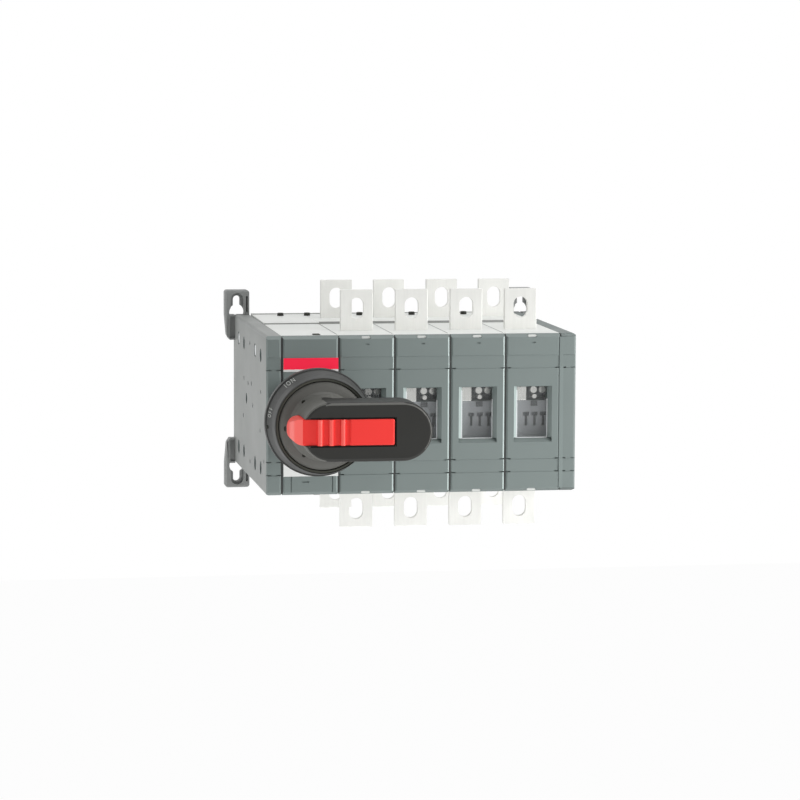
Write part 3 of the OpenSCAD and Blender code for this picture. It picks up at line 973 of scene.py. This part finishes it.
class SWITCH_OT_handle(bpy.types.Operator):
    """Rounds the handle and gives it its black moulding, with a painted highlight on the grip's
    front rim and painted shade on its upper side
    """

    bl_idname = "switch.handle"
    bl_label = "Handle"

    def execute(self, context):
        colours, sizes = settings_of(context)
        settings = {"roughness": 0.42, "mottling": 0.08, "specular": 0.15}
        finishes = [
            plastic("hub_plastic", colours.hub, **settings),
            plastic("grip_rim_highlight", colours.grip, lighten=4.0, **settings),
            plastic("grip_plastic", colours.grip, **settings),
            plastic("grip_top_shade", colours.grip, lighten=0.6, **settings),
        ]
        hub, wear_and_highlight, grip, shaded = range(4)
        piece = dressed("handle")
        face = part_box("handle")[0].y
        behind_face, edges_end = face + 0.0009, face + 0.002
        grip_back, neck = FRONT_Y - 0.064, PIVOT_X - 0.003

        def grip_rim(spot, normal):
            on_rim = spot.x > neck and spot.y < behind_face and -0.97 < normal.y < -0.2
            return on_rim and (normal.z > 0.3 or normal.x > 0.55)

        round_edges(piece, sizes.handle_bevel, test=lambda spot: spot.y < edges_end)
        refinish(piece, grip, lambda spot, normal: spot.y < grip_back)
        # painted shade on the grip's upward faces behind its front
        refinish(
            piece, shaded, lambda spot, normal: behind_face < spot.y < grip_back and normal.z > 0.3
        )
        refinish(piece, hub, lambda spot, normal: spot.x < neck and spot.y > behind_face)
        # painted highlight on the grip's front rim where it faces up or right
        refinish(piece, wear_and_highlight, grip_rim)
        hand_over(piece, finishes, ["handle"], "handle")
        return {"FINISHED"}


class SWITCH_OT_slide(bpy.types.Operator):
    """Rounds the padlock slide and gives it its red moulding, with painted highlights on its right
    slopes, ridges and tip
    """

    bl_idname = "switch.slide"
    bl_label = "Padlock Slide"

    def execute(self, context):
        colours = context.scene.switch_colours
        red = {"mottling": 0.06, "specular": 0.15}
        finishes = [
            plastic("slide_plastic", colours.slide, roughness=0.36, **red),
            plastic("slide_edge_highlight", colours.slide, roughness=0.288, lighten=1.5, **red),
            plastic("slide_tip_highlight", colours.slide_highlight, roughness=0.3),
        ]
        edge, slide_highlight = 1, 2
        # a faint glow of painted light on every finish of the slide
        for finish in finishes:
            glow_as_painted_light(finish, colours.slide, 0.06)
        piece = dressed("lock_slide")
        low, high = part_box("lock_slide")
        ridges = [PIVOT_X + across for across in (-0.0068, -0.0005, 0.0067)]
        half_ridge, edge_depth, slope_x = 0.0011, 0.004, PIVOT_X + 0.0085
        edges_x, tip_x = PIVOT_X - 0.0136, PIVOT_X - 0.0134

        def right_corner(spot):
            return spot.x > high.x - TOUCH and abs(spot.z) > high.z - TOUCH

        def front_edge(spot):
            return spot.y < low.y + edge_depth and spot.x > edges_x

        def right_slope(spot, normal):
            slanted = -0.95 < normal.y < -0.3 and (normal.x > 0.4 or abs(normal.z) > 0.4)
            return slanted and spot.x > slope_x

        def wear_and_highlight(spot, normal):
            on_ridge = normal.y < -0.5 and any(abs(spot.x - x) < half_ridge for x in ridges)
            return on_ridge or spot.x < tip_x and normal.y < 0.3

        round_edges(piece, 0.0012, shortest=0.001, segments=4, test=right_corner)
        round_edges(piece, 0.00045, shortest=0.0003, test=front_edge)
        # painted highlight on the slanted faces at the right end
        refinish(piece, edge, right_slope)
        # painted highlight on the ridges and the tip
        refinish(piece, slide_highlight, wear_and_highlight)
        hand_over(piece, finishes, ["lock_slide"], "slide")
        return {"FINISHED"}


class SWITCH_OT_hub_marks(bpy.types.Operator):
    """Sets small dark discs into the hub beside the grip, as painted shade of its small holes"""

    bl_idname = "switch.hub_marks"
    bl_label = "Hub Plugs"

    def execute(self, context):
        finish = dot_moulding_and_hole_shade(context.scene.switch_colours)
        far, sunk = 0.2, 0.0005
        # place across and up from the pivot, then width and height as shares of the disc's
        hole_shades = (
            (-0.0124, 0.0150, 1.3, 1.3),
            (-0.0119, -0.0173, 1.2, 1.2),
            (-0.0232, -0.0011, 0.8, 1.7),
        )
        for number, (x, z, wide, tall) in enumerate(hole_shades, start=1):
            start = Vector((PIVOT_X + x, FRONT_Y - far, z))
            found, spot, _, _ = PARTS["handle"].ray_cast(start, Vector((0, 1, 0)))
            if not found:
                raise RuntimeError("the hub has no surface at a plug's place")
            hole_shade = disc(f"hub_hole_shade_{number}", 0.001, 0.0012)
            hole_shade.scale = (wide, 1, tall)
            hole_shade.location = spot + Vector((0, sunk, 0))
            place(hole_shade)
            hand_over(hole_shade, [finish], body="handle", weighted=False)
        return {"FINISHED"}


class SWITCH_OT_deck_screws(bpy.types.Operator):
    """Adds the rear decks' slotted screws, whose dark plastic is partly painted shade of their
    slots, the front decks' catches in painted shade, and bars of painted shade on the step and
    joints
    """

    bl_idname = "switch.deck_screws"
    bl_label = "Deck Screws"

    def execute(self, context):
        colours = context.scene.switch_colours
        dark, shade = plastic("screw_plastic_and_slot_shade", colours.dark), deck_shade(colours)
        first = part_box("rear_pole_1")[0].x
        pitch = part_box("rear_pole_2")[0].x - first
        rear_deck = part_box("rear_pole_1")[1].z
        low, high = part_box("front_pole_1")
        deck = high.z
        self.screws(dark, [PIVOT_X] + [first + pitch * n for n in range(4)], rear_deck)
        # dark catches as painted shade in the catch slots
        for side, row in DECKS:
            sunk, size = 0.0012, (0.0046, 0.0066, 0.0036)
            name = f"deck_catch_shade_{row}"
            middle = (PIVOT_X + 0.0048, FRONT_Y + 0.0093, side * (deck - sunk))
            rounded_bar(name, middle, size, 0.0006, "foot_plastic", dark, segments=3)
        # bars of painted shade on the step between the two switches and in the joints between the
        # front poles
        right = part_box("right_end_wall")[0].x
        width, least_rise, start = 0.0005, 0.0004, FRONT_Y + 0.0115
        rise = max(rear_deck - deck, least_rise)
        middle = ((low.x + right) / 2, high.y - 0.0001, (deck + rear_deck) / 2)
        lines = [("step", middle, (right - low.x, width, rise))]
        for n in range(4):
            middle = (low.x + pitch * n, (start + high.y) / 2, deck)
            lines.append((f"joint_{n + 1}", middle, (width, high.y - start, 0.0003)))
        for side, row in DECKS:
            for label, (x, y, z), size in lines:
                name, middle = f"deck_{label}_{row}", (x, y, side * z)
                rounded_bar(name, middle, size, 0.00008, "housing_plastic", shade)
        return {"FINISHED"}

    def screws(self, finish, columns, deck):
        """A row of slotted screws on each rear deck; their dark plastic is partly painted shade of
        the slots they sit in.
        """
        screw = disc("screw", 0.0021, 0.0026)
        half_slot, depth, proud = 0.0006, 0.145, 0.0001

        def face_middle(spot, normal):
            return normal.y < -0.99 and abs(spot.x) + abs(spot.z) < half_slot

        pick_faces(screw, face_middle)
        bpy.ops.mesh.inset(thickness=0.0009, depth=-0.0004)
        close_edit()
        for side, row in DECKS:
            turned = copy_at(screw, "screw_turned", Vector((0, 0, 0)))
            turned.data.transform(Matrix.Rotation(-side * math.pi / 2, 4, "X"))
            for number, x in enumerate(columns, start=1):
                spot = Vector((x, FRONT_Y + depth, side * (deck + proud)))
                piece = copy_at(turned, f"deck_screw_{row}_{number}", spot)
                hand_over(piece, [finish], weighted=False)
            bpy.data.objects.remove(turned)
        bpy.data.objects.remove(screw)


class SWITCH_OT_window_details(bpy.types.Operator):
    """Adds the springs, the chamber wall and the slat in painted shade, and the rims of painted
    highlight seen in each window
    """

    bl_idname = "switch.window_details"
    bl_label = "Window Details"

    def execute(self, context):
        colours = context.scene.switch_colours
        dark = plastic("chamber_shade", colours.carrier, lighten=0.22)
        lit = plastic("window_rim_highlight", colours.lit, roughness=0.25, mottling=0.02)
        in_chamber_shade = ("carrier_plastic", dark)
        deck = FRONT_Y + 0.005
        spring_front, spring_length = deck + 0.0095, 0.003
        # rims of painted highlight on the clear pane: left, right, bottom, and the frame's lower
        # edge, each with its place across, back and up, its width and its height
        rims = (
            (-0.0101, 0.0027, -0.0008, 0.0013, 0.0302),
            (0.0095, 0.0027, -0.0036, 0.0005, 0.0246),
            (0, 0.0027, -0.0157, 0.0194, 0.0005),
            (0, 0.0003, -0.0186, 0.0232, 0.0004),
        )
        for n in POLES:
            x = pole_middle(n)
            # a wall in painted shade behind the contact rods
            middle, size = (x + 0.0046, deck + 0.0149, 0.0125), (0.0126, 0.0014, 0.0108)
            rounded_bar(f"chamber_wall_{n}", middle, size, 0.0003, *in_chamber_shade)
            for number, (across, depth, up, wide, tall) in enumerate(rims, start=1):
                middle, size = (x + across, FRONT_Y + depth, up), (wide, 0.0005, tall)
                name = f"window_rim_{n}_{number}"
                rounded_bar(name, middle, size, 0.00012, "clear_pane", lit)
            # springs round the two large rods, in the chamber's painted shade
            for number, (across, up) in enumerate(((0.003, 0.0132), (0.0086, 0.0131)), start=1):
                middle = (x + across, spring_front, up)
                ring = torus(f"contact_spring_{n}_{number}", middle, 0.0026, 0.00045, 32, 8)
                pick_faces(ring, lambda spot, normal: spot.y > spring_front)
                bpy.ops.mesh.extrude_region_move(
                    TRANSFORM_OT_translate={"value": (0, spring_length, 0)}
                )
                close_edit()
                hand_over(ring, [dark], weighted=False)
            # a slat in painted shade at the carrier's upper edge
            middle, size = (x + 0.0030, deck + 0.0062, 0.0047), (0.0042, 0.0008, 0.0032)
            rounded_bar(f"carrier_slat_{n}", middle, size, 0.0002, *in_chamber_shade)
        return {"FINISHED"}


class SWITCH_OT_end_joint(bpy.types.Operator):
    """Closes the joint between the last cover and the right end wall with a flush strip, with a
    painted highlight on its lower part
    """

    bl_idname = "switch.end_joint"
    bl_label = "End Joint Strip"

    def execute(self, context):
        colours = context.scene.switch_colours
        finishes = [
            cover_moulding(colours),
            plastic("cover_strip_highlight", colours.cover, lighten=1.1),
        ]
        # the painted highlight starts below the upper band
        strip_highlight, band_edge = 1, 0.029
        cover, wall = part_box("front_cover_4"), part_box("right_end_wall")
        left, right = cover[1].x - 0.0004, wall[0].x + 0.0017
        strip = bar(
            "end_joint_strip",
            ((left + right) / 2, FRONT_Y + 0.001, 0),
            (right - left, 0.0021, 2 * cover[1].z - 0.004),
        )
        cut_level(strip, band_edge)
        round_edges(strip, 0.00015, shortest=0.001)
        refinish(strip, strip_highlight, lambda spot, normal: spot.z < band_edge)
        hand_over(strip, finishes)
        return {"FINISHED"}


class SWITCH_OT_joint_seams(bpy.types.Operator):
    """Closes the joints between the covers with dark strips of painted shade just below their
    faces
    """

    bl_idname = "switch.joint_seams"
    bl_label = "Joint Seams"

    def execute(self, context):
        finish = plastic("seam_shade", context.scene.switch_colours.foot, lighten=0.22)
        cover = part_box("front_cover_1")
        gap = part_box("front_cover_2")[0].x - cover[1].x
        size = (gap + 0.0006, 0.002, 2 * cover[1].z - 0.0024)
        names = ["left_end_wall", "mechanism_cover"] + POLE_COVERS[:3]
        for number, name in enumerate(names, start=1):
            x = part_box(name)[1].x + (0 if name == "left_end_wall" else gap / 2)
            middle = (x, FRONT_Y + 0.0019, 0)
            name = f"joint_seam_{number}"
            rounded_bar(name, middle, size, 0.0002, "cover_plastic", finish)
        return {"FINISHED"}


class SWITCH_OT_slide_gap(bpy.types.Operator):
    """Puts dark strips of painted shade in the grip's channel beside the slide"""

    bl_idname = "switch.slide_gap"
    bl_label = "Slide Channel Lining"

    def execute(self, context):
        grip = context.scene.switch_colours.grip
        channel_shade = plastic("slide_gap_shade", grip, lighten=0.35, roughness=0.8, specular=0.05)
        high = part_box("lock_slide")[1]
        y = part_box("handle")[0].y + 0.0002
        start, end = PIVOT_X - 0.0125, high.x
        width, gap = 0.0008, 0.0003
        edge = high.z + gap + width / 2
        strips = (
            ((start + end) / 2, edge, end - start, width),
            ((start + end) / 2, -edge, end - start, width),
            (end + gap + width / 2, 0, width, 2 * edge + width),
        )
        for number, (x, z, wide, tall) in enumerate(strips, start=1):
            name, size = f"slide_gap_shade_{number}", (wide, 0.0006, tall)
            rounded_bar(name, (x, y, z), size, 0.0001, "grip_plastic", channel_shade, body="handle")
        return {"FINISHED"}


class SWITCH_OT_shaft(bpy.types.Operator):
    """Gives the shaft its plated steel"""

    bl_idname = "switch.shaft"
    bl_label = "Shaft"

    def execute(self, context):
        steel = context.scene.switch_colours.steel
        finish = metal("plated_shaft", steel, stretch=(900.0, 60.0, 900.0))
        piece = dressed("shaft")
        round_edges(piece, 0.0006)
        hand_over(piece, [finish], ["shaft"], "handle")
        return {"FINISHED"}


# ---------------- stage


def seen_mix(tree, share, unseen, seen):
    """Mixes in a second shader for what the camera sees, directly, in gloss or through glass."""
    path = node(tree, "ShaderNodeLightPath")
    rays = math_node(tree, "MAXIMUM", path.outputs["Is Camera Ray"], path.outputs["Is Glossy Ray"])
    rays = math_node(tree, "MAXIMUM", rays, path.outputs["Is Transmission Ray"])
    mix = node(tree, "ShaderNodeMixShader")
    tree.links.new(math_node(tree, "MULTIPLY", rays, share), mix.inputs[0])
    tree.links.new(unseen.outputs[0], mix.inputs[1])
    tree.links.new(seen.outputs[0], mix.inputs[2])
    return mix.outputs[0]


class SWITCH_OT_stage(bpy.types.Operator):
    """Sets up the floor, the surroundings, the lamps and the camera"""

    bl_idname = "switch.stage"
    bl_label = "Studio"

    def execute(self, context):
        studio = context.scene.switch_studio
        context.scene.view_settings.view_transform = "Standard"
        self.surroundings(context.scene, studio)
        self.floor()
        self.lamps(studio)
        self.camera(context.scene, studio)
        return {"FINISHED"}

    def surroundings(self, scene, studio):
        """An even light from all round, which looks plain white itself."""
        world = bpy.data.worlds.new("studio")
        scene.world = world
        world.use_nodes = True
        tree = world.node_tree
        tree.nodes.clear()
        light, white = (node(tree, "ShaderNodeBackground") for _ in range(2))
        for background in (light, white):
            background.inputs["Color"].default_value = (1, 1, 1, 1)
        light.inputs["Strength"].default_value = studio.around
        mixed = seen_mix(tree, 1.0, light, white)
        tree.links.new(mixed, node(tree, "ShaderNodeOutputWorld").inputs[0])

    def floor(self):
        """A pale floor well below the switch."""
        spot = (0, 0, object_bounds()[0].z - 0.7)
        floor = added(bpy.ops.mesh.primitive_plane_add, "studio_floor", size=8.0, location=spot)
        place(floor)
        material = bpy.data.materials.new("studio_floor")
        material.use_nodes = True
        tree = material.node_tree
        shader = tree.nodes["Principled BSDF"]
        shader.inputs["Base Color"].default_value = (0.8, 0.8, 0.8, 1)
        shader.inputs["Roughness"].default_value = 0.9
        glow = node(tree, "ShaderNodeEmission")
        glow.inputs["Strength"].default_value = 1.0
        mixed = seen_mix(tree, 0.97, shader, glow)
        tree.links.new(mixed, tree.nodes["Material Output"].inputs[0])
        floor.data.materials.append(material)
        floor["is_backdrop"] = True

    def lamps(self, studio):
        """Four square lamps that face the middle of the front."""
        target = Vector((0, FRONT_Y, 0))
        for name, spot, size, watts in (
            ("key_lamp", (0.72, FRONT_Y - 0.34, 0.12), 0.4, studio.key),
            ("side_lamp", (-1.1, FRONT_Y - 0.1, -0.45), 0.6, studio.fill),
            ("top_lamp", (0.1, FRONT_Y + 0.1, 1.2), 0.9, studio.top),
            ("low_lamp", (0.05, FRONT_Y - 0.45, -0.55), 0.4, studio.low),
        ):
            aim = (target - Vector(spot)).to_track_quat("-Z", "Y").to_euler()
            lamp = added(bpy.ops.object.light_add, name, type="AREA", location=spot, rotation=aim)
            lamp.data.shape = "SQUARE"
            lamp.data.size = size
            lamp.data.energy = watts

    def camera(self, scene, studio):
        """The camera, a little above and to the left of the front."""
        turn = [math.radians(angle) for angle in (83.91465, -0.23278, -9.45118)]
        spot = (-0.347062, FRONT_Y - 1.995343, 0.224806)
        camera = added(bpy.ops.object.camera_add, "studio_camera", location=spot, rotation=turn)
        camera.data.lens = studio.lens
        camera.data.sensor_width = 36.0
        camera.data.clip_start = 0.05
        camera.data.clip_end = 50.0
        scene.camera = camera


class SWITCH_PT_sidebar(bpy.types.Panel):
    """Settings of the switch and a button for each group of pieces"""

    bl_label = "Changeover Switch"
    bl_idname = "SWITCH_PT_sidebar"
    bl_space_type = "VIEW_3D"
    bl_region_type = "UI"
    bl_category = "Switch"

    def draw(self, context):
        scene = context.scene
        for settings in (scene.switch_colours, scene.switch_sizes, scene.switch_studio):
            box = self.layout.box()
            for name in settings.__annotations__:
                box.prop(settings, name)
        for operator in OPERATORS:
            self.layout.operator(operator.bl_idname)


SETTINGS = (SwitchColours, SwitchSizes, SwitchStudio)
OPERATORS = (
    SWITCH_OT_stage,
    SWITCH_OT_housings,
    SWITCH_OT_front_covers,
    SWITCH_OT_end_walls,
    SWITCH_OT_wall_pins,
    SWITCH_OT_feet,
    SWITCH_OT_terminals,
    SWITCH_OT_carriers,
    SWITCH_OT_windows,
    SWITCH_OT_labels,
    SWITCH_OT_dial,
    SWITCH_OT_dial_words,
    SWITCH_OT_dial_details,
    SWITCH_OT_hub_marks,
    SWITCH_OT_deck_screws,
    SWITCH_OT_window_details,
    SWITCH_OT_end_joint,
    SWITCH_OT_joint_seams,
    SWITCH_OT_slide_gap,
    SWITCH_OT_shaft,
    SWITCH_OT_handle,
    SWITCH_OT_slide,
)


def register():
    for cls in (*SETTINGS, *OPERATORS, SWITCH_PT_sidebar):
        bpy.utils.register_class(cls)
    bpy.types.Scene.switch_colours = bpy.props.PointerProperty(type=SwitchColours)
    bpy.types.Scene.switch_sizes = bpy.props.PointerProperty(type=SwitchSizes)
    bpy.types.Scene.switch_studio = bpy.props.PointerProperty(type=SwitchStudio)


def unregister():
    del bpy.types.Scene.switch_studio
    del bpy.types.Scene.switch_sizes
    del bpy.types.Scene.switch_colours
    for cls in reversed((*SETTINGS, *OPERATORS, SWITCH_PT_sidebar)):
        bpy.utils.unregister_class(cls)


def main():
    register()
    bpy.ops.switch.stage()
    bpy.ops.switch.housings()
    bpy.ops.switch.front_covers()
    bpy.ops.switch.end_walls()
    bpy.ops.switch.wall_pins()
    bpy.ops.switch.feet()
    bpy.ops.switch.terminals()
    bpy.ops.switch.carriers()
    bpy.ops.switch.windows()
    bpy.ops.switch.labels()
    bpy.ops.switch.dial()
    bpy.ops.switch.dial_words()
    bpy.ops.switch.dial_details()
    bpy.ops.switch.hub_marks()
    bpy.ops.switch.deck_screws()
    bpy.ops.switch.window_details()
    bpy.ops.switch.end_joint()
    bpy.ops.switch.joint_seams()
    bpy.ops.switch.slide_gap()
    bpy.ops.switch.shaft()
    bpy.ops.switch.handle()
    bpy.ops.switch.slide()


if __name__ == "__main__":
    main()
